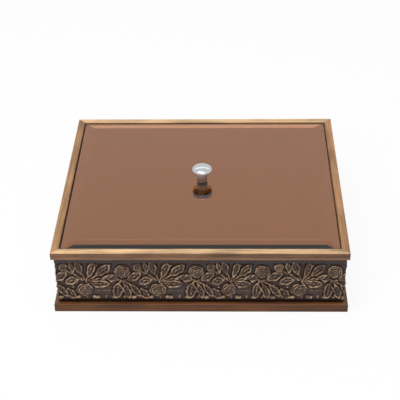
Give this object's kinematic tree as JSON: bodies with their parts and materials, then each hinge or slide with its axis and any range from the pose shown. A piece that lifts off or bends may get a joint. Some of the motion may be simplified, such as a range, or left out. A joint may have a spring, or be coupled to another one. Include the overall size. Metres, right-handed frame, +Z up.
{
  "type": "wooden box",
  "caption": "Low rectangular wooden box with a mitred rim, a rose-and-leaf carved band, a plinth and a lift-off bevelled bronze-mirror lid with a chrome knob.",
  "frame": {"origin": "under the middle of the footprint, on the surface that the box stands on", "axes": "+Z up, +X to the right along the longer side, -Y to the front"},
  "size_m": [0.303, 0.261, 0.0944],
  "materials": {
    "rim_wood": "satin",
    "plinth_wood": "satin",
    "carved_wood": "dark antique glaze with rubbed gold-brown ridges",
    "wall_wood": "stained, satin",
    "base_board": "stained, matt",
    "steel": "zinc plated",
    "bronze_mirror": "bronze-tinted mirror, ground bevel",
    "chrome": "polished",
    "soft_washer": "matt",
    "nylon": "matt"
  },
  "bodies": {
    "box": {"plinth_front": "plinth_wood", "wall_front": "wall_wood", "carved_band_front": "carved_wood", "rim_front": "rim_wood", "plinth_right": "plinth_wood", "wall_right": "wall_wood", "carved_band_right": "carved_wood", "rim_right": "rim_wood", "plinth_back": "plinth_wood", "wall_back": "wall_wood", "carved_band_back": "carved_wood", "rim_back": "rim_wood", "plinth_left": "plinth_wood", "wall_left": "wall_wood", "carved_band_left": "carved_wood", "rim_left": "rim_wood", "base_panel": "base_board", "plinth_screws": "steel", "wall_brads": "steel"},
    "lid": {"lid_mirror": "bronze_mirror", "knob": "chrome", "knob_washer": "soft_washer", "screw_washer": "nylon", "knob_screw": "steel"}
  },
  "joints": [
    {"name": "lid_lift", "type": "slide", "parent": "box", "child": "lid", "axis": [0, 0, 1], "range_m": [0, 0.15]}
  ]
}
